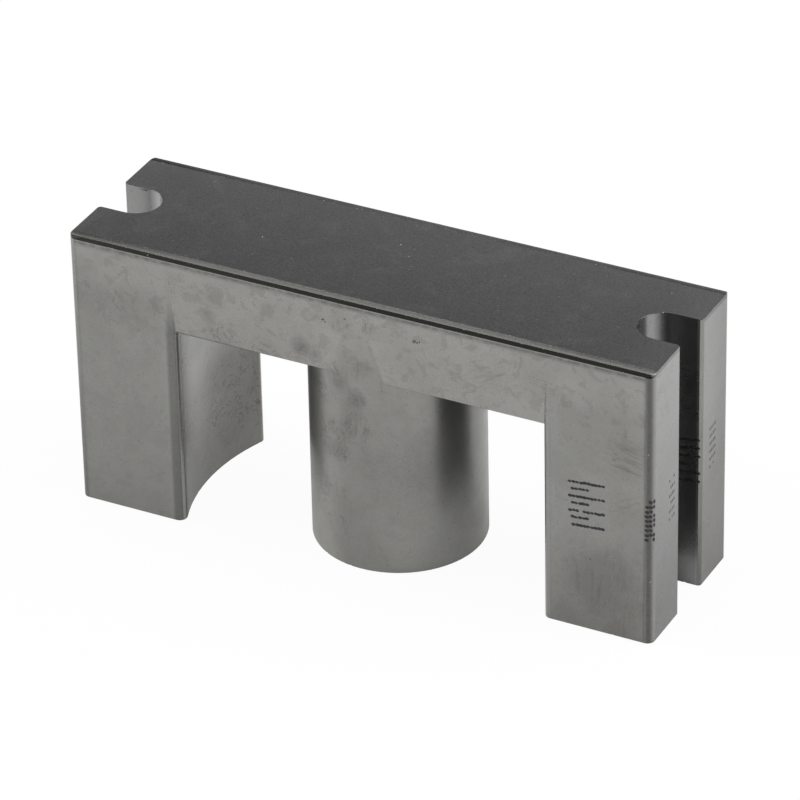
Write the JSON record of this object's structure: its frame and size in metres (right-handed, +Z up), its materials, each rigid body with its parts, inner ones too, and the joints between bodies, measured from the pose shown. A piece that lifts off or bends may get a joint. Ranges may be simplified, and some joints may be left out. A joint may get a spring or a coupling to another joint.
{
  "type": "ferrite e core half with round centre leg",
  "caption": "Sintered ferrite core half with a flat yoke, a round centre leg, outer legs with hollowed inner faces and an open clamp slot down each end.",
  "frame": {"origin": "centre of the mating plane of the pole faces, on the axis of the centre leg", "axes": "+X along the core, +Y across it, +Z up to the flat back of the yoke"},
  "size_m": [0.0406, 0.0114, 0.0195],
  "materials": {
    "ferrite": "satin, dark grey, pressed and sintered, ground on the back and the pole faces"
  },
  "bodies": {
    "root": {"ferrite_core": "ferrite"}
  },
  "joints": []
}
